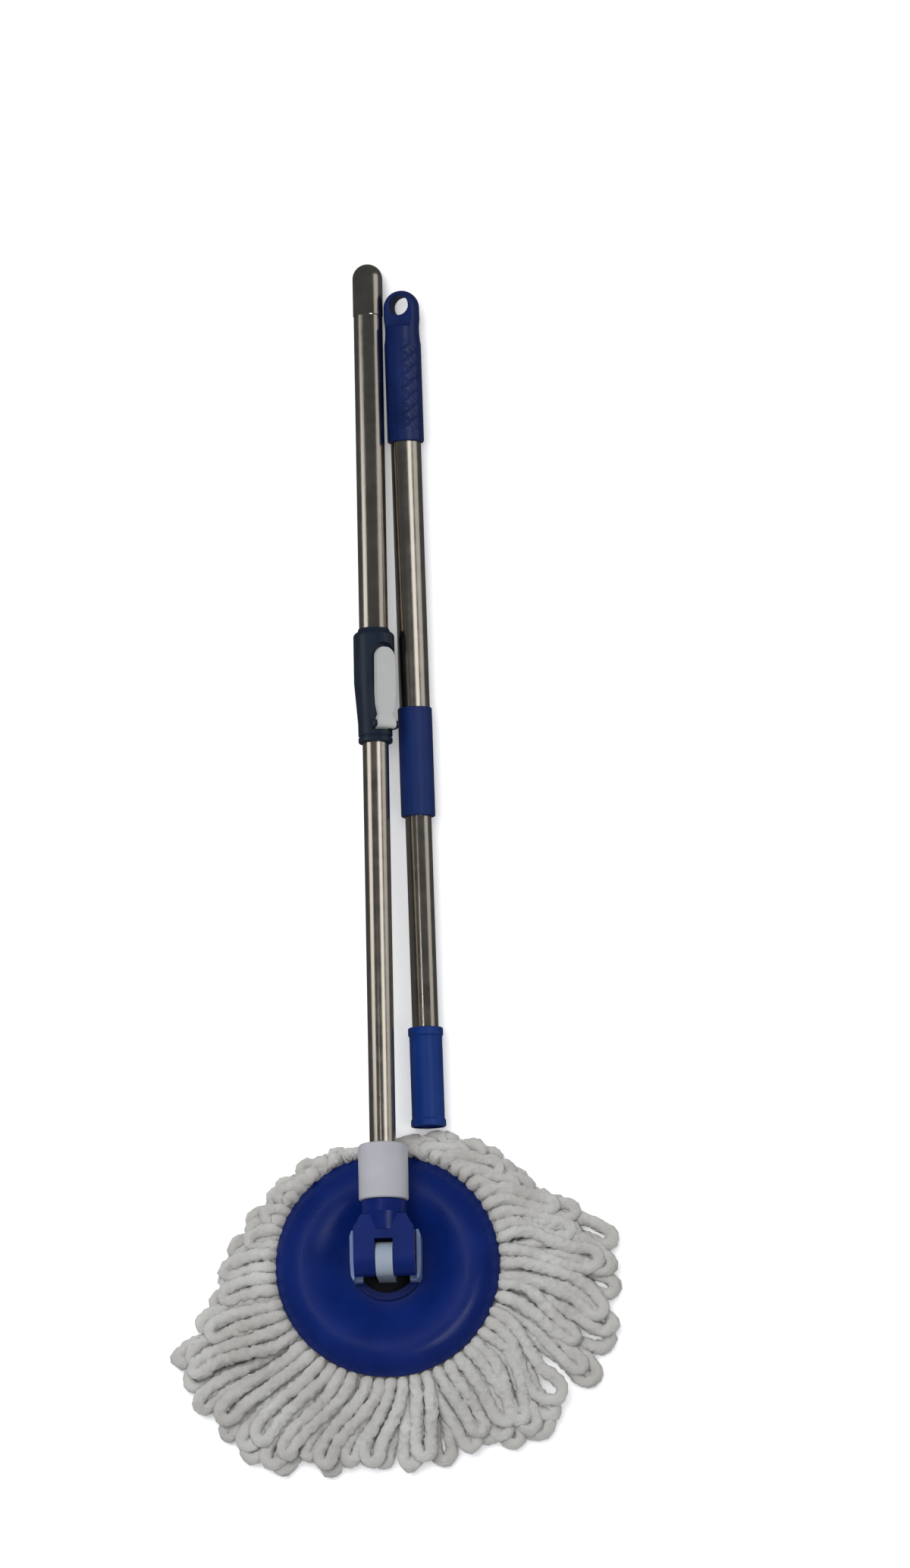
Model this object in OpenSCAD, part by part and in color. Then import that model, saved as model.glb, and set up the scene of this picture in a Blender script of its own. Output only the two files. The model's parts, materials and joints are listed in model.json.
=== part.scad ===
// Spin mop, taken apart into its two handle halves and laid on the floor.
// The head lies on its strands, with the lower half of the handle folded flat over it.
// The upper half of the handle lies beside the lower half.
// Origin: on the floor, straight below the tilt pin. +Y runs from the head along the handle.

/* [Head] */
// Diameter of the disc that carries the strands
disc_d = 162; // [150:1:172]
// Height of the disc from its lip to its crest
disc_h = 15; // [13:0.5:17]
// Thickness of the disc's plastic
disc_wall = 2.4; // [1.8:0.1:3]
// Outer diameter of the hub cup in the middle of the disc
hub_d = 52.6; // [50:0.2:56]
// Width across the fork that straddles the hub's tongue
fork_w = 44; // [40:0.5:45]
// Width of the tongue between the fork's arms
tongue_w = 12.4; // [11:0.2:15]
// Diameter of the tilt pin
pin_d = 6; // [5:0.5:7]
// Height of the tilt pin above the floor
pivot_z = 48; // [46:0.5:52]

/* [Strands] */
// Width of the spread strands across the head
strands_w = 318; // [290:2:330]
// Length of the spread strands along the handle's direction
strands_l = 238; // [225:2:240]
// Thickness of the strand bed around the disc
strands_h = 21; // [19:0.5:23]

/* [Lower handle half] */
// Outer diameter of the inner tube
inner_tube_d = 19; // [18.9:0.1:19]
// Outer diameter of the outer tube on the lower half
outer_tube_d = 21; // [21:0.1:21.3]
// Wall of the tubes
tube_wall = 0.5; // [0.4:0.05:0.5]
// Distance from the tilt pin to the top of the domed end
lower_half_l = 732; // [720:1:740]
// Distance from the tilt pin to the lower end of the lock housing
lock_y = 377.5; // [374:0.5:384]
// Length of the lock housing
lock_l = 84; // [80:1:84]
// Direction that the lever faces, turned from straight up
lever_turn = 35; // [20:1:45]
// Diameter of the white collar above the neck
connector_d = 36; // [34:0.5:36]

/* [Spin drive] */
// Length of one full turn of the twisted bar
twist_pitch = 100; // [80:5:120]
// Width of the twisted bar
bar_w = 8; // [7:0.5:8]
// Thickness of the twisted bar
bar_t = 2; // [1.6:0.1:2]
// Travel of the outer tube over the inner tube when it is pushed down
stroke = 180; // [150:5:185]

/* [Upper handle half] */
// Length of the upper half from the mouth of its socket to the end of its grip
upper_half_l = 612; // [604:1:616]
// Outer diameter of the upper tube
handle_tube_d = 22; // [21.8:0.1:22.2]
// Diameter of the grip
grip_d = 26.6; // [26:0.2:26.8]
// Length of the grip
grip_l = 112; // [108:0.5:114]
// Diameter of the hanging hole
hang_d = 14.5; // [12:0.5:14.5]
// Turn of the grip's flat faces about the handle, away from straight up
grip_turn = -14; // [-30:1:0]
// Distance from the head's centre line to the socket's mouth
side_x = 31.6; // [31.4:0.1:33]
// Distance from the tilt pin to the socket's mouth, along the handle
side_y = 98.5; // [97:0.5:102]
// Angle between the two halves as they lie
side_angle = 0.68; // [0.6:0.02:0.7]

/* [Hidden] */

navy = [0.06, 0.1, 0.24];
deep_blue = [0.05, 0.1, 0.42];
collar_blue = [0.12, 0.17, 0.35];
white_plastic = [0.86, 0.86, 0.84];
grey_plastic = [0.62, 0.65, 0.68];
steel = [0.75, 0.75, 0.74];
bright_steel = [0.83, 0.83, 0.82];
nylon = [0.8, 0.78, 0.7];
black_plastic = [0.05, 0.06, 0.07];
microfibre = [0.88, 0.87, 0.84];

eps = 0.05;
fit = 0.05;        // radial clearance of a turning or sliding fit
snug = 0.02;       // radial clearance of a fixed fit
round_fn = 96;
small_fn = 48;

// Lower half: radii and places along the handle, from the tilt pin
inner_r = inner_tube_d / 2;
inner_bore_r = inner_r - tube_wall;
outer_r = outer_tube_d / 2;
outer_bore_r = outer_r - tube_wall;
cap_r = outer_r + 0.4;
cap_l = 39;
connector_r = connector_d / 2;
neck_r = 16.4;
neck_y = 27;
connector_y = 42.5;
connector_l = 41;
arm_r = 12.4;
slot_y = arm_r + 1.2;
shoulder_y = 20;
inner_tube_y = connector_y + 6;
anchor_y = 674;
inner_tube_top = anchor_y - stroke - 17;
lock_shoulder = 6;
lock_r = 14.9;
lock_foot_r = 12.4;
lever_y = lock_y + 12;
lever_z = 13.7;
lever_pin_r = 1.4;
lever_barrel_r = 2.9;
lever_w = 15.6;
clamp_l = 15;

// The fold lies flat, so the handle drops from the tilt pin to rest its domed end on the floor
slope = asin((pivot_z - cap_r) / (lower_half_l - cap_r));

// Head heights, measured from the tilt pin along the disc's axis
crest_z = -(connector_r + 0.8);
lip_z = crest_z - disc_h;
seat_z = crest_z - 9;
hub_r = hub_d / 2;
hub_wall = 5.4;
hub_bore_r = hub_r - hub_wall;
disc_r = disc_d / 2;
crest_r = 61;
ring_top_z = lip_z + 3;
ring_z = lip_z - 3.6;
cup_floor_z = seat_z - 8;
pin_r = pin_d / 2;
screw_pcd_r = 23.6;
screw_r = 1.5;
cup_top_z = seat_z + 3.2;

// Everything on the lower half is drawn with the tilt pin at the origin, the handle along +Y
// and the disc's axis along +Z
module lie() {
    translate([0, 0, pivot_z]) rotate([-slope, 0, 0]) children();
}

// The upper half is drawn from its socket's mouth along +Y, with its axis at the origin
module lie_beside() {
    translate([side_x, side_y, grip_d / 2]) rotate([0, 0, side_angle]) children();
}

// A turned shape: points are [radius, distance along +Y]
module turned(points, fn = round_fn) {
    rotate([-90, 0, 0]) rotate_extrude($fn = fn) polygon(points);
}

module rod(r, from, to, fn = round_fn) {
    translate([0, from, 0]) rotate([-90, 0, 0]) cylinder(r = r, h = to - from, $fn = fn);
}

module tube(r, bore, from, to) {
    difference() {
        rod(r, from, to);
        rod(bore, from - eps, to + eps);
    }
}

module cross_rod(r, l, y, fn = small_fn) {
    translate([-l / 2, y, 0]) rotate([0, 90, 0]) cylinder(r = r, h = l, $fn = fn);
}

function arc(cx, cy, r, from, to, n) =
    [for (i = [0:n]) let (a = from + (to - from) * i / n) [cx + r * cos(a), cy + r * sin(a)]];

// ---- Head ----

// Height of the disc's upper face at radius r: a dished middle, a crest and a falling shoulder
function disc_top(r) = r < crest_r
    ? crest_z - (crest_z - seat_z) * (1 - cos(180 * (crest_r - r) / (crest_r - hub_r))) / 2
    : crest_z - (disc_h - 3) * pow((r - crest_r) / (disc_r - crest_r), 2.2);

module disc_plate() {
    inner = hub_r + snug;
    steps = 30;
    radii = [for (i = [0:steps]) inner + (disc_r - inner) * i / steps];
    upper = [for (r = radii) [r, disc_top(r)]];
    lower = [for (i = [steps:-1:0]) [min(radii[i], disc_r - disc_wall), disc_top(radii[i]) - disc_wall]];
    tooth_count = 48;
    tooth_w = 2.2;
    color(deep_blue) lie() {
        rotate_extrude($fn = 144)
            polygon(concat(upper, [[disc_r, lip_z], [disc_r - disc_wall, lip_z]], lower));
        for (i = [0:tooth_count - 1])
            rotate([0, 0, i * 360 / tooth_count])
                translate([disc_r - disc_wall, -tooth_w / 2, lip_z])
                    cube([disc_wall - 0.4, tooth_w, 3]);
    }
}

// The ring that the strands are sewn to, pressed up into the disc's channel
module refill_ring() {
    outer = disc_r - disc_wall - 0.6;
    inner = outer - 20;
    rib = 2.2;
    channel_z = ring_z + 2.6;
    color(white_plastic) lie() rotate_extrude($fn = 144) polygon([
        [inner, ring_z], [outer, ring_z], [outer, ring_top_z], [outer - rib, ring_top_z],
        [outer - rib, channel_z], [inner + rib, channel_z], [inner + rib, ring_top_z], [inner, ring_top_z]
    ]);
}

// Outline of the spread strands: an oval that trails away from the handle
function strand_outline(k) =
    [for (a = [0:7.5:352.5]) [10 + k * strands_w / 2 * cos(a), -36 + k * strands_l / 2 * sin(a)]];

module mop_strands() {
    layers = 3;
    pocket_r = disc_r + 0.5;
    hub_pocket_z = cup_floor_z - 5.4;
    color(microfibre) difference() {
        union() {
            for (i = [0:layers - 1])
                linear_extrude(height = strands_h * (0.55 + 0.45 * i / (layers - 1)))
                    polygon(strand_outline(1 - 0.12 * i));
        }
        lie() {
            translate([0, 0, ring_z - 0.3]) cylinder(r = pocket_r, h = 60, $fn = 144);
            translate([0, 0, hub_pocket_z]) cylinder(r = hub_r + 1, h = 20, $fn = 144);
        }
    }
}

// Four holes for the screws that clamp the lug's flange under the cup's wall
module hub_screw_holes(r) {
    for (a = [0:90:270])
        rotate([0, 0, 45 + a]) translate([screw_pcd_r, 0, cup_floor_z - 4])
            cylinder(r = r, h = 7, $fn = small_fn);
}

// Cup in the disc's middle, with a step under the disc
module hub_cup() {
    color(deep_blue) lie() difference() {
        union() {
            difference() {
                translate([0, 0, cup_floor_z]) cylinder(r = hub_r, h = cup_top_z - cup_floor_z, $fn = 144);
                translate([0, 0, cup_floor_z - eps]) cylinder(r = hub_bore_r, h = 40, $fn = 144);
            }
            translate([0, 0, cup_floor_z]) difference() {
                cylinder(r = hub_r + 3, h = seat_z - disc_wall - 0.2 - cup_floor_z, $fn = 144);
                translate([0, 0, -eps]) cylinder(r = hub_bore_r, h = 20, $fn = 144);
            }
        }
        hub_screw_holes(screw_r + snug);
    }
}

// Two light guides that stand on the cup's wall outside the fork's arms, each with a foot at its front
module fork_guides() {
    inner = fork_w / 2 + 0.6;
    outer = inner + 3;
    front = -arm_r - 1.4;
    back = 22;
    foot_w = 5.6;
    foot_l = 5;
    foot_top = -15.4;
    top = -5;
    color(grey_plastic) lie()
        for (side = [0, 1]) mirror([side, 0, 0]) difference() {
            union() {
                translate([0, 0, seat_z + 1.2]) linear_extrude(height = top - seat_z - 1.2)
                    polygon([[inner, front], [outer - 2, front], [outer - 0.6, front + 3], [outer, 0],
                        [outer, back - 4], [outer - 1.4, back], [inner, back]]);
                translate([inner - foot_w, front, seat_z + 1.2])
                    cube([foot_w + 0.4, foot_l, foot_top - seat_z - 1.2]);
            }
            translate([0, 0, cup_top_z - 10]) cylinder(r = hub_r, h = 10, $fn = 144);
        }
}

// Dark plate that closes the cup; the tongue stands up through it
module hub_floor() {
    plate_h = 3;
    color(black_plastic) lie() difference() {
        translate([0, 0, cup_floor_z]) cylinder(r = hub_bore_r - snug, h = plate_h, $fn = 144);
        translate([-tongue_w / 2 - snug, -arm_r, cup_floor_z - eps])
            cube([tongue_w + 2 * snug, 2 * arm_r, plate_h + 2 * eps]);
    }
}

// Tongue with its own flange, screwed to the floor plate from below
module pivot_lug() {
    flange_h = 3;
    half = tongue_w / 2;
    color(grey_plastic) lie() difference() {
        union() {
            cross_rod(arm_r - 0.1, tongue_w, 0, round_fn);
            translate([-half, -arm_r + 0.1, cup_floor_z - flange_h])
                cube([tongue_w, 2 * arm_r - 0.2, -cup_floor_z + flange_h]);
            translate([0, 0, cup_floor_z - flange_h]) cylinder(r = hub_r, h = flange_h - snug, $fn = 144);
        }
        cross_rod(pin_r + snug, tongue_w + 2, 0);
        hub_screw_holes(screw_r + 0.1);
    }
}

module tilt_pin() {
    color(bright_steel) lie() cross_rod(pin_r, fork_w - 1, 0);
}

module hub_screws() {
    head_r = 2.6;
    color(steel) lie()
        for (a = [0:90:270])
            rotate([0, 0, 45 + a]) translate([screw_pcd_r, 0, cup_floor_z - 3]) {
                translate([0, 0, -1.6]) difference() {
                    cylinder(r = head_r, h = 1.58, $fn = small_fn);
                    translate([0, 0, 0.4]) cube([4, 0.8, 1], center = true);
                    translate([0, 0, 0.4]) cube([0.8, 4, 1], center = true);
                }
                translate([0, 0, -0.1]) cylinder(r = screw_r, h = 5.6, $fn = small_fn);
            }
}

// ---- Lower pole: turns about the tilt pin ----

// Fork and neck, with a spigot inside the tube
module yoke() {
    half = fork_w / 2;
    spigot_r = inner_bore_r - snug;
    plan = concat(
        [[-half, 0], [half, 0]],
        arc(half - 6, shoulder_y, 6, 0, 50, 5),
        [[neck_r, neck_y + 4], [-neck_r, neck_y + 4]],
        arc(-half + 6, shoulder_y, 6, 130, 180, 5));
    color(deep_blue) lie() difference() {
        union() {
            translate([0, 0, -arm_r]) linear_extrude(height = 2 * arm_r) polygon(plan);
            cross_rod(arm_r, fork_w, 0, round_fn);
            turned([[0, shoulder_y], [arm_r + 1, shoulder_y], [neck_r - 1.5, neck_y], [neck_r, neck_y + 6],
                [neck_r, connector_y - 1], [neck_r - 1, connector_y - 0.1], [0, connector_y - 0.1]]);
            rod(connector_r - 3.1, connector_y - 1, connector_y + 4);
            rod(spigot_r, connector_y, connector_y + 60);
        }
        translate([-tongue_w / 2 - 0.4, -arm_r - 1, -neck_r - 1])
            cube([tongue_w + 0.8, arm_r + 1 + slot_y, 2 * neck_r + 2]);
        cross_rod(pin_r + fit, fork_w + 2, 0);
        cross_rod(2 + snug, 40, connector_y + 24);
    }
}

// White collar between the neck and the steel tube
module connector() {
    edge = 3;
    from = connector_y;
    to = connector_y + connector_l;
    lip_bore = inner_r + snug;
    outline = concat(
        [[lip_bore, from + 9], [connector_r - 3, from + 9], [connector_r - 3, from]],
        arc(connector_r - 1.6, from + 1.6, 1.6, -90, 0, 5),
        arc(connector_r - edge, to - edge, edge, 0, 90, 6),
        [[lip_bore, to]]);
    color(white_plastic) lie() difference() {
        turned(outline, 128);
        cross_rod(2.4, 24, connector_y + 24);
    }
}

module lower_tube() {
    color(steel) lie() difference() {
        tube(inner_r, inner_bore_r, inner_tube_y, inner_tube_top);
        cross_rod(2 + snug, 40, connector_y + 24);
    }
}

module tube_pin() {
    color(bright_steel) lie() cross_rod(2, inner_tube_d - 0.2, connector_y + 24);
}

// Cage in the top of the inner tube; it holds the clutch and carries the guide bush on its neck
cage_foot = inner_tube_top - 38;
neck_top = inner_tube_top + 15;
bush_y = inner_tube_top + 2.3;
bush_l = 9.4;
cage_neck_r = 7.4;
cage_bore_r = 7;
bar_way_r = 4.9;

module clutch_cage() {
    color(black_plastic) lie() difference() {
        union() {
            rod(inner_bore_r - snug, cage_foot, inner_tube_top);
            rod(inner_r, inner_tube_top + 0.02, inner_tube_top + 2);
            rod(cage_neck_r, inner_tube_top, neck_top);
        }
        rod(cage_bore_r, cage_foot + 3, inner_tube_top + 1);
        rod(bar_way_r, cage_foot - 1, neck_top + 1);
        difference() {
            rod(cage_neck_r + 1, bush_y + bush_l + 0.4, bush_y + bush_l + 1.5);
            rod(cage_neck_r - 0.6, bush_y + bush_l, bush_y + bush_l + 2);
        }
    }
}

nut_y = inner_tube_top - 14;
nut_l = 7;

// The twisted bar's section, grown by a gap, swept through a stretch of its twist
module bar_sweep(from, to, gap) {
    steps = ceil((to - from) / 4);
    translate([0, from, 0]) rotate([-90, 0, 0]) rotate([0, 0, -360 * from / twist_pitch])
        linear_extrude(height = to - from, twist = 360 * (to - from) / twist_pitch, slices = steps)
            square([bar_w + 2 * gap, bar_t + 2 * gap], center = true);
}

module drive_nut() {
    color(nylon) lie() difference() {
        rod(cage_bore_r - 0.1, nut_y, nut_y + nut_l);
        bar_sweep(nut_y - 0.5, nut_y + nut_l + 0.5, 0.4);
        for (a = [0:60:300])
            rotate([0, a, 0]) translate([5.6, nut_y + nut_l - 0.6, 0]) cube([3, 1.4, 1.2], center = true);
    }
}

module ratchet_ring() {
    color(steel) lie() difference() {
        rod(cage_bore_r - snug, nut_y + nut_l + 0.1, nut_y + nut_l + 5.1);
        rod(bar_way_r, nut_y, nut_y + nut_l + 6);
        for (a = [0:60:300])
            rotate([0, a, 0]) translate([6, nut_y + nut_l + 0.4, 0]) cube([3, 1.2, 1.4], center = true);
    }
}

module clutch_spring() {
    turns = 5;
    mid_r = 6;
    wire_r = 0.55;
    from = cage_foot + 3.7;
    to = nut_y - 0.7;
    color(bright_steel) lie()
        translate([0, from, 0]) rotate([-90, 0, 0])
            linear_extrude(height = to - from, twist = -360 * turns, slices = 24 * turns)
                translate([mid_r, 0]) circle(r = wire_r, $fn = 10);
}

module bush_clip() {
    y = bush_y + bush_l + 0.5;
    color(bright_steel) lie() difference() {
        tube(8.9, cage_neck_r - 0.58, y, y + 0.9);
        translate([0, y - 0.5, -1.5]) cube([12, 2, 3]);
    }
}

// ---- Guide bush: turns on the cage's neck and slides in the outer tube ----
module guide_bush() {
    color(nylon) lie() tube(outer_bore_r - fit, cage_neck_r + fit, bush_y, bush_y + bush_l);
}

// ---- Upper pole: slides down over the inner tube ----
cap_top = lower_half_l;
cap_foot = cap_top - cap_l;
outer_tube_y = lock_y + 3 + clamp_l + 2;
outer_tube_top = cap_top - cap_r - 5;

module upper_tube() {
    color(steel) lie() difference() {
        tube(outer_r, outer_bore_r, outer_tube_y, outer_tube_top);
        cross_rod(1.5 + snug, 40, anchor_y + 9);
    }
}

module twisted_bar() {
    foot = cage_foot + 2;
    color(bright_steel) lie() difference() {
        bar_sweep(foot, anchor_y + 14, 0);
        cross_rod(1.5 + snug, 40, anchor_y + 9);
    }
}

module bar_anchor() {
    color(black_plastic) lie() difference() {
        rod(outer_bore_r - snug, anchor_y, anchor_y + 18);
        bar_sweep(anchor_y - 1, anchor_y + 14.5, 0.25);
        cross_rod(1.5 + snug, 40, anchor_y + 9);
    }
}

module anchor_pin() {
    color(bright_steel) lie() cross_rod(1.5, outer_tube_d - 0.6, anchor_y + 9);
}

// Domed steel end: the spigot that enters the other half's socket
module end_cap() {
    dome_y = cap_top - cap_r;
    color(steel) lie() difference() {
        turned(concat([[0, cap_foot], [cap_r - 0.25, cap_foot], [cap_r, cap_foot + 0.6]],
            arc(0, dome_y, cap_r, 0, 90, 18)));
        rod(outer_r + snug, cap_foot - 1, outer_tube_top + 0.05);
    }
}

// Housing of the flip lock: a collar with a spine on one side and a window for the lever
module lock_housing() {
    top = lock_y + lock_l;
    bore_low = inner_r + 1;
    profile = concat(
        [[bore_low, lock_y + 3], [inner_r + 0.3, lock_y + 3], [inner_r + 0.3, lock_y],
            [lock_foot_r - 0.6, lock_y], [lock_foot_r, lock_y + 0.6], [lock_foot_r, lock_y + 3.4],
            [lock_foot_r - 0.7, lock_y + 3.9], [lock_foot_r - 0.7, lock_y + 4.7],
            [lock_foot_r, lock_y + 5.2], [lock_foot_r + 0.1, lock_y + 14], [lock_r, lock_y + 44],
            [lock_r, top - lock_shoulder]],
        arc(lock_r - 3.4, top - lock_shoulder, 3.4, 10, 80, 6),
        [[outer_r + 0.6, top], [outer_r + snug, top], [outer_r + snug, outer_tube_y],
            [bore_low, outer_tube_y]]);
    window_w = lever_w + 1;
    window_z = outer_r + 0.9;
    ear_w = 1.6;
    color(navy) lie() difference() {
        union() {
            turned(profile, 128);
            rotate([0, lever_turn, 0])
                for (side = [-1, 1])
                    translate([side * (window_w + ear_w) / 2, 0, 0]) {
                        translate([-ear_w / 2, lever_y, lever_z]) rotate([0, 90, 0])
                            cylinder(r = 3, h = ear_w, $fn = small_fn);
                        translate([-ear_w / 2, lever_y - 3, 9.9]) cube([ear_w, 6, lever_z - 9.9]);
                    }
        }
        rotate([0, lever_turn, 0]) {
            translate([-window_w / 2, lever_y - 3.4, 9]) cube([window_w, 6.8, 12]);
            translate([-window_w / 2, lever_y, window_z]) cube([window_w, 50, 10]);
            translate([-window_w / 2 - 2, lever_y + 26, window_z]) cube([window_w + 4, 24, 10]);
            translate([0, lever_y + 50, window_z]) cylinder(r = window_w / 2 + 2, h = 10, $fn = small_fn);
            translate([0, 0, lever_z]) cross_rod(lever_pin_r + snug, 40, lever_y);
        }
        rod(bore_low, lock_y + 3, outer_tube_y);
        rod(outer_r + snug, outer_tube_y, top + 1);
    }
}

// Split nylon ring that the lever's cam squeezes onto the inner tube
module clamp_ring() {
    color(nylon) lie() rotate([0, lever_turn, 0]) difference() {
        tube(inner_r + 0.95, inner_r + 0.06, lock_y + 3.1, lock_y + 3.1 + clamp_l);
        translate([0, lock_y, -0.8]) rotate([0, 90, 0]) translate([-1, 0, -20]) cube([2, 30, 20]);
    }
}

module lever_pin() {
    color(bright_steel) lie() rotate([0, lever_turn, 0]) translate([0, 0, lever_z])
        cross_rod(lever_pin_r, lever_w + 3.8, lever_y);
}

// ---- Lock lever ----
lever_l = 58;

// Lever seen from its face: a flared foot, a waist and a long rounded paddle
module lever_face() {
    half = lever_w / 2;
    right = concat([[half, -3], [half, 1.5], [half - 2.2, 7], [half - 0.6, 14], [half, 22]],
        arc(half - 8, lever_l - 9, 8, 0, 70, 9));
    left = [for (i = [len(right) - 1:-1:0]) [-right[i][0], right[i][1]]];
    polygon(concat(right, left));
}

module lock_lever() {
    base = outer_r + 1.2;
    side = [[-4, base + 0.1], [lever_l, base + 1.2], [lever_l, base + 3.8],
        [lever_l - 6, base + 4.3], [lever_l - 22, base + 5], [14, base + 4.2], [7, base + 3.6],
        [2, lever_z + lever_barrel_r - 0.1], [-4, lever_z + lever_barrel_r - 0.1]];
    color(white_plastic) lie() rotate([0, lever_turn, 0]) difference() {
        union() {
            intersection() {
                translate([0, lever_y, 0]) linear_extrude(height = 30) lever_face();
                translate([-lever_w, lever_y, 0]) rotate([90, 0, 90])
                    linear_extrude(height = 2 * lever_w) polygon(side);
                translate([-lever_w, lever_y - 0.5, 0]) cube([2 * lever_w, 90, 40]);
            }
            translate([0, 0, lever_z]) cross_rod(lever_barrel_r, lever_w, lever_y);
        }
        translate([0, 0, lever_z]) cross_rod(lever_pin_r + fit, lever_w + 2, lever_y);
    }
}

// ---- Upper handle half: lies beside the lower half ----
grip_y = upper_half_l - grip_l;
grip_r = grip_d / 2;
collar_y = 226;
collar_l = 79.5;
handle_r = handle_tube_d / 2;
handle_bore_r = handle_r - tube_wall;
socket_r = cap_r + fit;
socket_l = 44;
sleeve_l = 72;
sleeve_r = 11.9;
rim_r = 12.7;
extension_top = 292;
tube_seat = 48;

module handle_grip() {
    bulb_r = 13;
    bulb_y = upper_half_l - bulb_r;
    shoulder_y = upper_half_l - 35;
    flat = 8;
    outline = concat(
        [[0, grip_y], [grip_r - 0.8, grip_y], [grip_r, grip_y + 1], [grip_r, shoulder_y - 5],
            [grip_r - 0.5, shoulder_y - 2], [grip_r - 0.9, shoulder_y + 3], [grip_r - 0.9, shoulder_y + 8],
            [bulb_r, shoulder_y + 14]],
        arc(0, bulb_y, bulb_r, 0, 90, 16));
    color(navy) lie_beside() rotate([0, grip_turn, 0]) difference() {
        turned(outline, 128);
        rod(handle_r + snug, grip_y - 1, shoulder_y - 3);
        for (side = [0, 180])
            rotate([0, side, 0]) translate([-20, shoulder_y + 8, flat]) cube([40, 40, 10]);
        translate([0, upper_half_l - 11.5, -20]) cylinder(d = hang_d, h = 40, $fn = round_fn);
    }
}

module handle_tube() {
    color(steel) lie_beside() tube(handle_r, handle_bore_r, collar_y + 16, grip_y + 66);
}

module handle_collar() {
    top = collar_y + collar_l;
    r = 12.4;
    color(collar_blue) lie_beside() turned([[inner_r + 0.08, collar_y], [r - 0.7, collar_y],
        [r, collar_y + 0.7], [r, top - 0.7], [r - 0.7, top], [handle_r + snug, top],
        [handle_r + snug, collar_y + 15.9], [inner_r + 0.08, collar_y + 15.9]], 128);
}

// Expanding sleeve of the twist lock: grips the inside of the upper tube
module lock_sleeve() {
    from = extension_top + 2.3;
    color(nylon) lie_beside() difference() {
        tube(handle_bore_r - fit, 6 + fit, from, from + 22);
        for (a = [0, 120, 240])
            rotate([0, a, 0]) translate([8, from + 3, -0.6]) cube([4, 16, 1.2]);
    }
}

module extension_tube() {
    color(steel) lie_beside() difference() {
        tube(inner_r, inner_bore_r, tube_seat, extension_top);
        cross_rod(2 + snug, 40, tube_seat + 12);
    }
}

// Plug and journal in the top of the extension tube, with a head that keeps the sleeve on
module lock_cam() {
    from = extension_top - 24;
    color(black_plastic) lie_beside() union() {
        rod(inner_bore_r - snug, from, extension_top);
        rod(inner_r, extension_top + 0.02, extension_top + 2);
        rod(6, extension_top - 1, extension_top + 25);
        rod(8.6, extension_top + 24.7, extension_top + 27.5);
    }
}

// Sleeve on the lower end, open at the mouth to take a domed spigot
module end_sleeve() {
    rim = 6;
    color(deep_blue) lie_beside() difference() {
        turned([[socket_r, 0], [rim_r - 0.6, 0], [rim_r, 0.6], [rim_r, rim - 1.4], [sleeve_r, rim],
            [sleeve_r, sleeve_l - rim - 0.6], [rim_r, sleeve_l - rim + 0.6], [rim_r, sleeve_l - 0.7],
            [rim_r - 0.7, sleeve_l], [inner_r + snug, sleeve_l], [inner_r + snug, socket_l],
            [socket_r, socket_l]], 128);
        cross_rod(2 + snug, 40, tube_seat + 12);
    }
}

module sleeve_rivet() {
    color(bright_steel) lie_beside() cross_rod(2, 2 * sleeve_r - 0.5, tube_seat + 12);
}

disc_plate();
refill_ring();
mop_strands();
hub_cup();
fork_guides();
hub_floor();
pivot_lug();
tilt_pin();
hub_screws();
yoke();
connector();
lower_tube();
tube_pin();
clutch_cage();
drive_nut();
ratchet_ring();
clutch_spring();
bush_clip();
guide_bush();
upper_tube();
twisted_bar();
bar_anchor();
anchor_pin();
end_cap();
lock_housing();
clamp_ring();
lever_pin();
lock_lever();
handle_grip();
handle_tube();
handle_collar();
lock_sleeve();
extension_tube();
lock_cam();
end_sleeve();
sleeve_rivet();
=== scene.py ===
"""Looks for the spin mop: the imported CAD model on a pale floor, with looped microfibre strands."""

import json
import math
import random

import bmesh
import bpy
from mathutils import Matrix, Vector, noise

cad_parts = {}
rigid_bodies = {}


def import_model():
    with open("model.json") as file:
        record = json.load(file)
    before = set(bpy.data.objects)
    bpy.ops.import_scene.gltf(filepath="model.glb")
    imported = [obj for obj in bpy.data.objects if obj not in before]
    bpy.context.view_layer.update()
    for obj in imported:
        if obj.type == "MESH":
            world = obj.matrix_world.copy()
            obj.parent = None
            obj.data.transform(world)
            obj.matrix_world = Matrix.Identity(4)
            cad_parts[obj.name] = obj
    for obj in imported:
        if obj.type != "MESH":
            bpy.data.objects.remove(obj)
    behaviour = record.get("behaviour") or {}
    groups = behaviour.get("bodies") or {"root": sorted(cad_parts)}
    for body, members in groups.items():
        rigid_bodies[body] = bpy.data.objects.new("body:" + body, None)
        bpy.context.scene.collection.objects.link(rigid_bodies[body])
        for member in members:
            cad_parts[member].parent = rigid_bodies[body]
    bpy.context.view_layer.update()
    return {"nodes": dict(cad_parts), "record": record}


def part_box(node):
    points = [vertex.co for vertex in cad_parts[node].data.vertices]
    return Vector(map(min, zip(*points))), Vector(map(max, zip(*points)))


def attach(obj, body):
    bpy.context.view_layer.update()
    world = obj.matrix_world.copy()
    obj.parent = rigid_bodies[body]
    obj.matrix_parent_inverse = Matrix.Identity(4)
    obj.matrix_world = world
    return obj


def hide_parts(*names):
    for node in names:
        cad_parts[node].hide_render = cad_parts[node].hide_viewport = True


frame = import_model()
scene = bpy.context.scene

# ---- The photograph's view, in metres and degrees ----
VIEW_H = 1.1348  # height of floor that the picture spans
VIEW_CENTRE = Vector((0.0564, 0.3468, 0.02))
VIEW_ROLL = math.radians(-1.7)
# The camera stands a little to the head's side and to the right of straight above, and far off
VIEW_TILT = math.radians(7.5)
VIEW_SIDE = math.radians(3.5)
CAMERA_D = 12
SENSOR_W = 36  # millimetres


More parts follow.
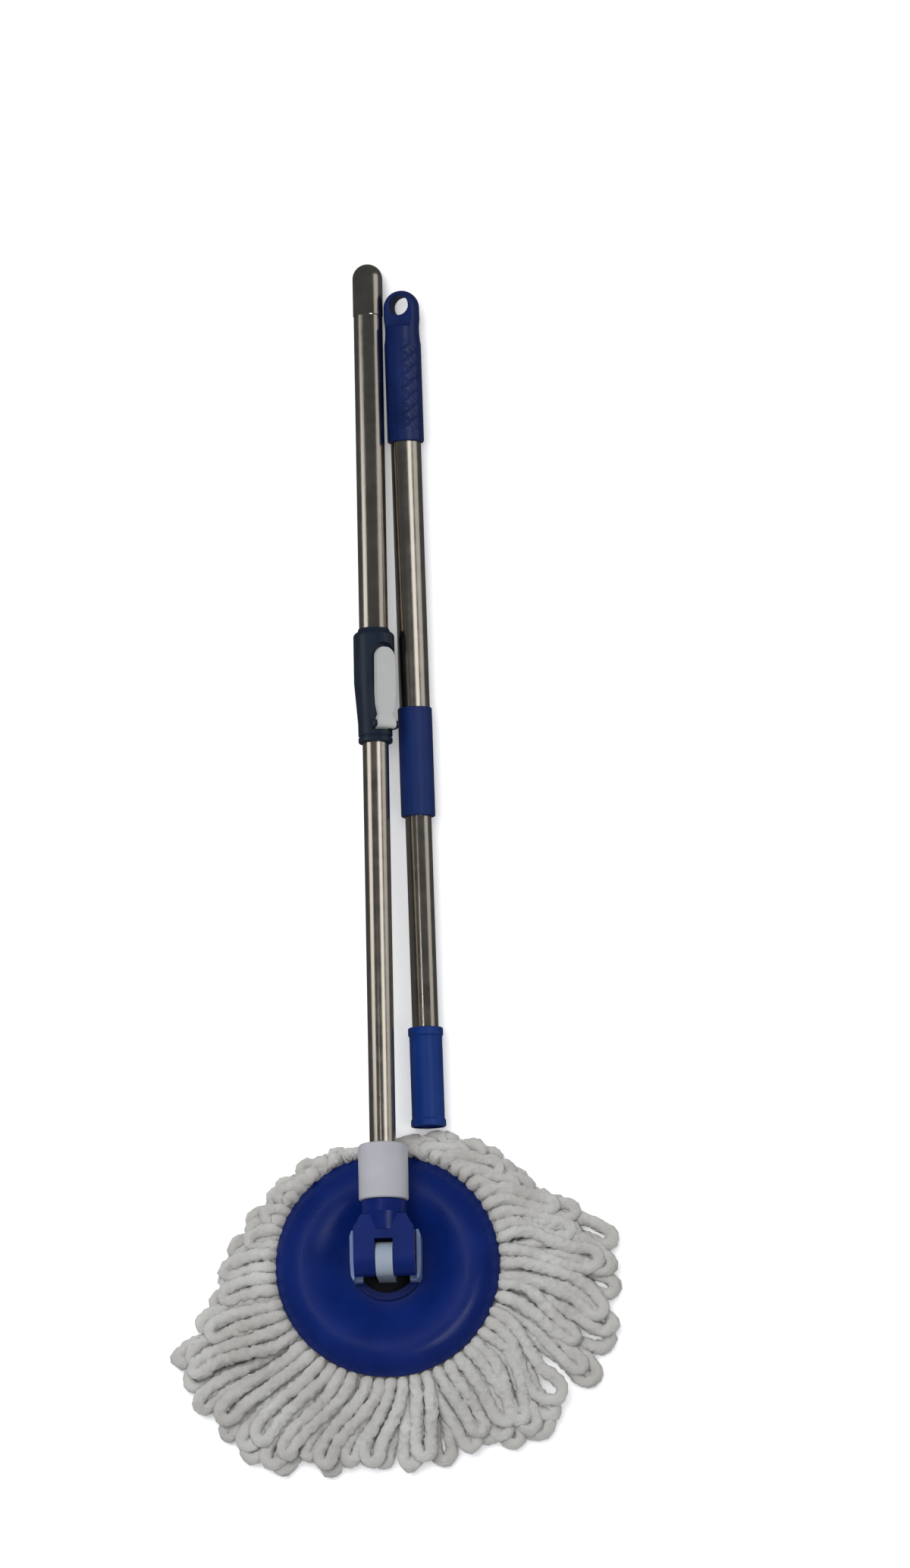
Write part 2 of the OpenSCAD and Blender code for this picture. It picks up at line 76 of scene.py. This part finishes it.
# ---- Node helpers ----
class Shader:
    """A material's node tree, with short calls to build and link its nodes."""

    def __init__(self, name):
        self.material = bpy.data.materials.new(name)
        self.material.use_nodes = True
        self.tree = self.material.node_tree
        self.bsdf = self.tree.nodes["Principled BSDF"]
        self.object_point = self.node("ShaderNodeTexCoord").outputs["Object"]

    def node(self, kind, **inputs):
        made = self.tree.nodes.new(kind)
        for key, value in inputs.items():
            self.feed(made.inputs[key.replace("_", " ")], value)
        return made

    def feed(self, socket, value):
        if isinstance(value, bpy.types.NodeSocket):
            self.tree.links.new(value, socket)
        else:
            socket.default_value = value

    def scaled(self, sx, sy, sz, turn=(0, 0, 0)):
        made = self.node("ShaderNodeMapping", Vector=self.object_point, Scale=(sx, sy, sz), Rotation=turn)
        return made.outputs["Vector"]

    def noise(self, where, scale, detail=3.0, rough=0.5):
        return self.node(
            "ShaderNodeTexNoise", Vector=where, Scale=scale, Detail=detail, Roughness=rough
        ).outputs["Fac"]

    def ramp(self, value, *stops):
        made = self.node("ShaderNodeValToRGB", Fac=value)
        elements = made.color_ramp.elements
        while len(elements) < len(stops):
            elements.new(0.5)
        for element, (place, colour) in zip(elements, stops):
            element.position = place
            element.color = (*colour, 1)
        return made.outputs["Color"]

    def spread(self, value, low, high):
        """Map a noise's usual range to low..high."""
        made = self.node(
            "ShaderNodeMapRange", Value=value, From_Min=0.3, From_Max=0.7, To_Min=low, To_Max=high
        )
        return made.outputs["Result"]

    def bump(self, height, strength, distance):
        made = self.node("ShaderNodeBump", Height=height, Strength=strength, Distance=distance)
        self.feed(self.bsdf.inputs["Normal"], made.outputs["Normal"])

    def set(self, **inputs):
        for key, value in inputs.items():
            self.feed(self.bsdf.inputs[key.replace("_", " ")], value)
        return self.material


def tint(colour, k):
    return tuple(min(1, c * k) for c in colour)


# ---- Materials ----
def moulded(name, colour, rough, vary, grain, shine=0.35):
    """Moulded plastic: faint clouding (vary), a fine moulded grain and slightly uneven gloss."""
    s = Shader(name)
    cloud = s.noise(s.object_point, 35)
    fine = s.noise(s.object_point, 2400, 2)
    base = s.ramp(cloud, (0.3, tint(colour, 1 - vary)), (0.7, tint(colour, 1 + vary)))
    s.bump(fine, grain, 0.0001)
    uneven = s.spread(cloud, rough * 0.8, rough * 1.25)
    return s.set(Base_Color=base, Roughness=uneven, Specular_IOR_Level=shine)


def polished_tube(name):
    """Drawn steel tube: fine lines along its length and faint handling marks."""
    colour = (0.55, 0.5, 0.43)
    rough = 0.2
    s = Shader(name)
    lines = s.noise(s.scaled(1500, 6, 1500), 1, 2)
    marks = s.noise(s.object_point, 60, 4, 0.6)
    base = s.ramp(marks, (0.35, tint(colour, 0.9)), (0.65, tint(colour, 1.06)))
    s.bump(lines, 0.05, 0.00002)
    return s.set(Base_Color=base, Metallic=1.0, Roughness=s.spread(marks, rough * 0.8, rough * 1.3))


def bright_steel(name):
    """Turned steel for pins and other small parts."""
    s = Shader(name)
    marks = s.noise(s.object_point, 400, 3)
    base = s.ramp(marks, (0.3, (0.5, 0.5, 0.49)), (0.7, (0.66, 0.66, 0.65)))
    s.bump(marks, 0.1, 0.00005)
    return s.set(Base_Color=base, Metallic=1.0, Roughness=s.spread(marks, 0.2, 0.35))


def microfibre(name):
    """Looped microfibre: warm off-white, fuzzy, a little greyer in places."""
    s = Shader(name)
    patches = s.noise(s.object_point, 28, 3)
    fuzz = s.noise(s.object_point, 420, 4, 0.7)
    pile = s.noise(s.object_point, 2200, 2)
    base = s.ramp(
        patches, (0.3, (0.4, 0.38, 0.355)), (0.55, (0.48, 0.47, 0.445)), (0.75, (0.55, 0.545, 0.52))
    )
    both = s.node("ShaderNodeMath")
    both.operation = "MULTIPLY_ADD"
    s.feed(both.inputs[0], pile)
    both.inputs[1].default_value = 0.5
    s.feed(both.inputs[2], fuzz)
    s.bump(both.outputs["Value"], 1.0, 0.0016)
    return s.set(
        Base_Color=base, Roughness=0.95, Sheen_Weight=0.35, Sheen_Roughness=0.6, Specular_IOR_Level=0.15
    )


# Slot: colour, roughness, clouding, grain and, where it isn't the usual one, specular level
PLASTICS = {
    "disc_blue": ((0.0013, 0.0105, 0.096), 0.3, 0.15, 0.1, 0.28),
    "hub_blue": ((0.0015, 0.008, 0.07), 0.3, 0.15, 0.1, 0.25),
    "yoke_blue": ((0.0015, 0.01, 0.092), 0.3, 0.15, 0.15, 0.25),
    "sleeve_blue": ((0.002, 0.019, 0.115), 0.35, 0.15, 0.2, 0.22),
    "collar_blue": ((0.004, 0.014, 0.072), 0.38, 0.15, 0.2, 0.22),
    "housing_navy": ((0.007, 0.013, 0.024), 0.36, 0.2, 0.3),
    "grip_navy": ((0.002, 0.009, 0.055), 0.3, 0.2, 0.3, 0.35),
    "connector_white": ((0.31, 0.31, 0.335), 0.35, 0.05, 0.15),
    "lever_white": ((0.31, 0.315, 0.31), 0.35, 0.05, 0.15),
    # guide_grey is a painted highlight: the fork guides are blue plastic, made a paler blue-grey so their
    # edges and feet show the light they catch
    "guide_grey": ((0.14, 0.19, 0.34), 0.4, 0.1, 0.15),
    "lug_grey": ((0.23, 0.27, 0.33), 0.45, 0.06, 0.2),
    "ring_white": ((0.4, 0.4, 0.38), 0.5, 0.05, 0.2),
    # black_plastic on the floor of the hub's well is painted shade: that floor is blue plastic lying in the
    # deep well's shadow
    "black_plastic": ((0.004, 0.005, 0.006), 0.5, 0.2, 0.3),
    "nylon": ((0.6, 0.57, 0.48), 0.45, 0.06, 0.2),
}
MATERIALS = {name: moulded(name, *look) for name, look in PLASTICS.items()}
MATERIALS["tube_steel"] = polished_tube("tube_steel")
MATERIALS["pin_steel"] = bright_steel("pin_steel")
MATERIALS["microfibre"] = microfibre("microfibre")


def dress_cad_nodes():
    """Each CAD node keeps its shape and gets its slot's material."""
    slots = {row["node"]: row["material_slot"] for row in frame["record"]["subparts"]}
    for name, piece in frame["nodes"].items():
        for i in range(len(piece.material_slots)):
            piece.material_slots[i].material = MATERIALS[slots[name]]


def mesh_piece(name, bm, slot, body, stands_for):
    """Make a piece from bm, in a slot's material, riding on a body in place of a CAD node."""
    data = bpy.data.meshes.new(name)
    bm.to_mesh(data)
    bm.free()
    piece = bpy.data.objects.new(name, data)
    scene.collection.objects.link(piece)
    for face in data.polygons:
        face.use_smooth = True
    data.materials.append(MATERIALS[slot])
    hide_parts(stands_for)
    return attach(piece, body)


# ---- Strands ----
DISC_LOW, DISC_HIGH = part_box("disc_plate")
RING_LOW, RING_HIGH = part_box("refill_ring")
CENTRE = ((DISC_LOW + DISC_HIGH) / 2).xy.to_3d()
DISC_R = (DISC_HIGH.x - DISC_LOW.x) / 2
# The ring and the disc's lip fall by this much from the head's front to the handle's side
RING_SLOPE = (DISC_HIGH.x - DISC_LOW.x) * math.sin(math.radians(2.96))
ROPE_R = 0.0047  # radius of a strand
ROOT_R = 0.0027  # radius where a strand is pressed flat under the ring
ROOT_INSET = 0.016  # from the disc's edge in to a strand's root
RIM_OUT = 0.004  # from the disc's edge out to where a strand runs free
ROPE_STEP = 0.0017  # distance between a rope's rings
ROPE_SIDES = 16
FLOOR_GAP = 0.0001  # the strands lie flat on the floor from here up
LYING = 0.93  # height of a lying strand's middle, in its radii
LIFT = 0.003  # how far a strand wanders up and down
# Tufts on a strand's skin: how many to a metre, and how deep in its radii
COARSE_TUFTS, COARSE_DEPTH = 260, 0.34
FINE_TUFTS, FINE_DEPTH = 560, 0.26
SWELL = 0.09  # how much a strand swells and thins along its length
# The strands are tangled round this angle, out to this far on each side and fading over the last part
TANGLE_AT, TANGLE_WIDE, TANGLE_FADE = -20, 50, 30
LOOP_STEPS = 7  # pieces of the half turn at a loop's end
LOOP_BULGE = 1.25  # its length against its half width
STRAND_SEED = 11
LAYER_TURN = 2.7  # a layer's roots are turned by this part of a step from those below
# The bed's layers from the floor up: loops, height at the rim, height at the ends, reach
LAYERS = {
    "strands_under": (30, 0.0080, 0.0047, 1.03),
    "strands_middle": (30, 0.0135, 0.0085, 1.0),
    "strands_over": (30, 0.0192, 0.0125, 0.97),
}
# Where the loops end round the head: root angle in degrees, then the end's X and Y in millimetres
ENDS = [
    (-185, -119, 0), (-170, -125, -28), (-157, -147, -58), (-146, -151, -82), (-136, -134, -106),
    (-127, -108, -129), (-115, -90, -140), (-103, -65, -144), (-94, -44, -152), (-83, 2, -151),
    (-73, 34, -139), (-62, 72, -134), (-42, 102, -125), (-28, 128, -100), (-17, 145, -76),
    (-8, 157, -50), (-3, 166, -34), (4, 160, -13), (9, 163, 2), (17, 144, 16), (25, 139, 31),
    (35, 121, 44), (45, 101, 57), (60, 81, 74), (72, 57, 86), (90, 12, 92), (106, -38, 80),
    (125, -66, 66), (138, -80, 55), (155, -95, 35), (175, -119, 0),
]


def loop_end(angle):
    """The end of the loop rooted at an angle, between the two nearest in ENDS."""
    angle = (angle + 185) % 360 - 185
    for (a0, x0, y0), (a1, x1, y1) in zip(ENDS, ENDS[1:]):
        if a0 <= angle <= a1:
            t = (angle - a0) / (a1 - a0)
            return Vector((x0 + (x1 - x0) * t, y0 + (y1 - y0) * t, 0)) / 1000
    raise ValueError(angle)


def ring_height(point):
    """Height of the ring's underside at a point: it slopes from its high side at -Y to its low side at +Y."""
    t = (point.y - RING_LOW.y) / (RING_HIGH.y - RING_LOW.y)
    return RING_LOW.z + (1 - t) * RING_SLOPE


def ease(x):
    """A smooth step from 0 to 1 as x goes from 0 to 1."""
    x = min(1, max(0, x))
    return x * x * (3 - 2 * x)


def bezier(p0, p1, p2, p3, t):
    u = 1 - t
    return p0 * u**3 + p1 * (3 * u * u * t) + p2 * (3 * u * t * t) + p3 * t**3


def leg(angle, end, heading, crest, rest_z, draw, wild):
    """One leg of a loop, as (point, radius) pairs: under the ring, up past the rim and down to the end.

    crest is its height at the rim, rest_z its height at the end, draw picks its wander and wild scales it.
    """
    a = math.radians(angle)
    out = Vector((math.cos(a), math.sin(a), 0))
    side = Vector((-out.y, out.x, 0))
    root = CENTRE + out * (DISC_R - ROOT_INSET)
    rim = CENTRE + out * (DISC_R + RIM_OUT)
    away = (end - rim).length
    under = [root + (rim - root) * t for t in (0, 0.3, 0.6, 0.85)]
    p1 = rim + out * away * 0.4
    p2 = end - heading * away * 0.35
    count = max(8, int(away / ROPE_STEP))
    over = [bezier(rim, p1, p2, end, i / count) for i in range(count + 1)]
    pairs = []
    for p in under + over:
        far = (p - CENTRE).length - DISC_R
        grown = ease((far + 0.002) / 0.008)
        radius = ROOT_R + (ROPE_R - ROOT_R) * grown
        along = min(1, max(0, far / max(away, 0.01)))
        sway = noise.noise(Vector((p.x * 17, p.y * 17, draw))) * wild * ease(along * 2.5)
        lift = noise.noise(Vector((p.x * 26, p.y * 26, draw + 9))) * LIFT * ease(along * 3)
        root_z = ring_height(p) - ROOT_R - 0.0003
        rise = root_z + (crest - root_z) * ease((far + 0.001) / 0.007)
        z = rise + (rest_z - rise) * ease((along - 0.12) / 0.88)
        p = p + side * sway
        pairs.append((Vector((p.x, p.y, max(z + lift, radius * LYING))), radius))
    return pairs


def sweep(bm, pairs, draw):
    """A fluffy rope along the points, closed at both ends."""
    rings = []
    last = len(pairs) - 1
    for i, (p, radius) in enumerate(pairs):
        forward = (pairs[min(i + 1, last)][0] - pairs[max(i - 1, 0)][0]).normalized()
        side = forward.cross(Vector((0, 0, 1))).normalized()
        up = side.cross(forward)
        swell = 1 + SWELL * noise.noise(Vector((draw, i * 0.3, 7.1)))
        ring = []
        for k in range(ROPE_SIDES):
            turn = 2 * math.pi * k / ROPE_SIDES
            spoke = side * math.cos(turn) + up * math.sin(turn)
            at = p + spoke * radius
            tuft = noise.noise(at * COARSE_TUFTS + Vector((draw, 0, 0))) * COARSE_DEPTH
            tuft += noise.noise(at * FINE_TUFTS) * FINE_DEPTH
            skin = p + spoke * radius * swell * (1 + tuft * radius / ROPE_R)
            ring.append(bm.verts.new((skin.x, skin.y, max(skin.z, FLOOR_GAP))))
        rings.append(ring)
    neighbours = [(k, (k + 1) % ROPE_SIDES) for k in range(ROPE_SIDES)]
    for low, high in zip(rings, rings[1:]):
        for k, after in neighbours:
            bm.faces.new((low[k], low[after], high[after], high[k]))
    for ring, (tip, _), flip in ((rings[0], pairs[0], True), (rings[-1], pairs[-1], False)):
        point = bm.verts.new(tip)
        for k, after in neighbours:
            pair = (ring[after], ring[k]) if flip else (ring[k], ring[after])
            bm.faces.new((*pair, point))


def loop_pairs(angle, spacing, crest, rest_z, reach, rng):
    """One loop of strand: out along one leg, round its end and back along the other."""
    draw = rng.uniform(0, 50)
    off = abs((angle - TANGLE_AT + 180) % 360 - 180)
    tangled = ease((TANGLE_WIDE - off) / TANGLE_FADE)
    end = loop_end(angle + rng.uniform(-2.5, 2.5))
    out = Vector((math.cos(math.radians(angle)), math.sin(math.radians(angle)), 0))
    free = (end - CENTRE).length * reach * rng.uniform(0.95, 1.04) - DISC_R
    end = CENTRE + (end - CENTRE).normalized() * (DISC_R + max(free, 0.004))
    aim = (end - CENTRE - out * DISC_R * 0.9).normalized()
    heading = (aim + out * 0.3 + Vector((0, -0.4, 0))).normalized()
    heading = Matrix.Rotation(rng.uniform(-0.5, 0.5) * tangled, 3, "Z") @ heading
    side = Vector((-heading.y, heading.x, 0))
    half = ROPE_R * rng.uniform(0.9, 1.3)
    stop = end - heading * half * 2
    wild = 0.003 + 0.007 * tangled
    one = leg(angle - spacing / 2, stop - side * half, heading, crest, rest_z, draw, wild)
    two = leg(angle + spacing / 2, stop + side * half, heading, crest, rest_z, draw + 0.6, wild)
    middle = (one[-1][0] + two[-1][0]) / 2
    across = (two[-1][0] - one[-1][0]) / 2
    front = Vector((across.y, -across.x, 0)) * LOOP_BULGE
    turn = [
        (middle - across * math.cos(t) + front * math.sin(t), one[-1][1])
        for t in (math.pi * k / LOOP_STEPS for k in range(1, LOOP_STEPS))
    ]
    return one + turn + two[::-1], draw


def strands():
    """Three layers of looped ropes, each layer a piece of its own."""
    rng = random.Random(STRAND_SEED)
    for layer, (name, (count, crest, rest_z, reach)) in enumerate(LAYERS.items()):
        bm = bmesh.new()
        step = 360 / count
        for k in range(count):
            angle = k * step + layer * step / LAYER_TURN + rng.uniform(-1.2, 1.2)
            pairs, draw = loop_pairs(angle, step / 2, crest, rest_z, reach, rng)
            sweep(bm, pairs, draw)
        mesh_piece(name, bm, "microfibre", "head", "mop_strands")


# ---- Grip ----
GRIP_LOW, GRIP_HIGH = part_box("handle_grip")
GRIP_R = (GRIP_HIGH.z - GRIP_LOW.z) / 2
GRIP_Z = (GRIP_HIGH.z + GRIP_LOW.z) / 2
GRIP_LEAN = math.tan(math.radians(0.68))  # the upper half leans this much across the floor
GRIP_END_X = (GRIP_HIGH.x + GRIP_LOW.x) / 2 - (GRIP_HIGH.y - GRIP_LOW.y) / 2 * GRIP_LEAN
GRIP_VOXEL = 0.0006
GRIP_WALL = 0.0012  # points deeper than this under the skin belong to the bore and the ends
PANEL_TURN = math.radians(22)
PANEL_HALF_W = 0.0062
PANEL_SIDE_FADE = 0.0012
PANEL_START, PANEL_END = 0.008, 0.072  # from the grip's lower end
PANEL_END_FADE = 0.002
RIB_GAP = 0.0095
RIB_HALF_W = 0.0011
RIB_H = 0.0007


def even_grip():
    """The CAD grip's shape as a fine, even and slightly softened mesh."""
    copy = bpy.data.objects.new("grip_shape", frame["nodes"]["handle_grip"].data.copy())
    scene.collection.objects.link(copy)
    remesh = copy.modifiers.new("even", "REMESH")
    remesh.mode = "VOXEL"
    remesh.voxel_size = GRIP_VOXEL
    shape = bpy.data.meshes.new_from_object(copy.evaluated_get(bpy.context.evaluated_depsgraph_get()))
    bpy.data.objects.remove(copy)
    bm = bmesh.new()
    bm.from_mesh(shape)
    bpy.data.meshes.remove(shape)
    bmesh.ops.smooth_vert(bm, verts=bm.verts, factor=0.5, use_axis_x=True, use_axis_y=True, use_axis_z=True)
    return bm


def grip():
    """The grip, with crossed ribs raised on its front and back panels."""
    bm = even_grip()
    for v in bm.verts:
        axis_x = GRIP_END_X + (GRIP_HIGH.y - v.co.y) * GRIP_LEAN
        spoke = Vector((v.co.x - axis_x, 0, v.co.z - GRIP_Z))
        if spoke.length < GRIP_R - GRIP_WALL:
            continue
        around = math.atan2(spoke.x, spoke.z) - PANEL_TURN
        across = math.sin(around) * GRIP_R
        along = v.co.y - GRIP_LOW.y
        inside = ease((PANEL_HALF_W - abs(across)) / PANEL_SIDE_FADE)
        inside *= ease((along - PANEL_START) / PANEL_END_FADE)
        inside *= ease((PANEL_END - along) / PANEL_END_FADE)
        rib = max(
            ease(1 - abs((along + slant * across) % RIB_GAP - RIB_GAP / 2) / RIB_HALF_W) for slant in (1, -1)
        )
        v.co += spoke.normalized() * RIB_H * rib * inside
    return mesh_piece("grip_with_ribs", bm, "grip_navy", "handle", "handle_grip")


# ---- Set ----
ROOM_LIGHT = 0.5
ROOM_IN_REFLECTIONS = 0.09


def make_camera():
    """A far camera, so that the view is nearly without perspective, turned as the photograph's was."""
    data = bpy.data.cameras.new("camera")
    data.sensor_width = SENSOR_W
    data.lens = SENSOR_W * CAMERA_D / VIEW_H
    data.clip_end = 100
    camera = bpy.data.objects.new("camera", data)
    turn = Matrix.Rotation(VIEW_ROLL, 3, "Z") @ Matrix.Rotation(VIEW_TILT, 3, "X")
    turn = turn @ Matrix.Rotation(VIEW_SIDE, 3, "Y")
    camera.location = VIEW_CENTRE + turn @ Vector((0, 0, CAMERA_D))
    camera.rotation_euler = turn.to_euler()
    scene.collection.objects.link(camera)
    scene.camera = camera


def area_light(name, place, aim, size, power, glossy=True, only=None):
    """A soft box. Without glossy it doesn't show in reflections, and with only it lights just that group."""
    data = bpy.data.lights.new(name, "AREA")
    data.shape = "RECTANGLE"
    data.size, data.size_y = size
    data.energy = power
    light = bpy.data.objects.new(name, data)
    light.location = place
    direction = Vector(aim) - Vector(place)
    light.rotation_euler = direction.to_track_quat("-Z", "Y").to_euler()
    light.visible_glossy = glossy
    if only:
        light.light_linking.receiver_collection = only
    scene.collection.objects.link(light)


def make_floor():
    """A plain pale floor, just under the part."""
    bm = bmesh.new()
    bmesh.ops.create_grid(bm, x_segments=1, y_segments=1, size=12)
    data = bpy.data.meshes.new("floor")
    bm.to_mesh(data)
    bm.free()
    floor = bpy.data.objects.new("floor", data)
    scene.collection.objects.link(floor)
    s = Shader("floor_pale")
    cloud = s.noise(s.object_point, 3)
    pale = s.ramp(cloud, (0.3, (0.92, 0.92, 0.92)), (0.7, (0.94, 0.94, 0.94)))
    s.set(Base_Color=pale, Roughness=0.9, Specular_IOR_Level=0.2, Emission_Color=pale, Emission_Strength=0.2)
    data.materials.append(s.material)
    floor.location.z = -0.0005
    floor.visible_glossy = False


def lit(name, *nodes):
    """A group of pieces that a light can be kept to."""
    group = bpy.data.collections.new(name)
    for node in nodes:
        group.objects.link(frame["nodes"][node])
    return group


def make_world():
    """An even pale room. It is dim in reflections, so that the steel keeps its dark lines."""
    world = bpy.data.worlds.new("studio")
    world.use_nodes = True
    tree = world.node_tree
    background = tree.nodes["Background"]
    background.inputs["Color"].default_value = (0.92, 0.95, 1, 1)
    rays = tree.nodes.new("ShaderNodeLightPath")
    dim = tree.nodes.new("ShaderNodeMapRange")
    dim.inputs["To Min"].default_value = ROOM_LIGHT
    dim.inputs["To Max"].default_value = ROOM_IN_REFLECTIONS
    tree.links.new(rays.outputs["Is Glossy Ray"], dim.inputs["Value"])
    tree.links.new(dim.outputs["Result"], background.inputs["Strength"])
    world.cycles.sampling_method = "NONE"
    scene.world = world


def make_lights(grip_piece):
    """Soft boxes. The strips give each tube the light streaks that it has in the photograph."""
    middle = (0.03, 0.4, 0)
    head = (0, 0, 0)
    lower_half = lit("lower_half", "lower_tube", "upper_tube", "connector", "lock_housing", "lock_lever")
    streaked = lit("streaked", "lower_tube", "handle_tube", "handle_collar", "end_sleeve", "lock_lever")
    handles = lit("handles", "end_cap", "extension_tube")
    for piece in (*lower_half.objects, *streaked.objects):
        if piece.name not in handles.objects:
            handles.objects.link(piece)
    for part in (streaked, handles):
        part.objects.link(grip_piece)
    area_light("overhead", (-0.7, 1.0, 3.0), middle, (2.6, 3.0), 95, glossy=False)
    area_light("left_strip", (-1.75, 0.78, 1.0), middle, (0.65, 1.2), 3.4, only=lower_half)
    area_light("right_strip", (1.0, 0.85, 1.75), middle, (1.7, 0.9), 7, only=streaked)
    area_light("right_low", (1.9, 1.05, 0.6), middle, (1.5, 1.3), 4, only=handles)
    area_light("disc_left", (-0.42, 0.3, 1.85), head, (0.3, 0.12), 0.7)
    area_light("disc_right", (0.78, -0.5, 1.6), head, (0.8, 0.5), 5)


make_camera()
make_floor()
make_world()
dress_cad_nodes()
strands()
make_lights(grip())
scene.view_settings.view_transform = "Standard"
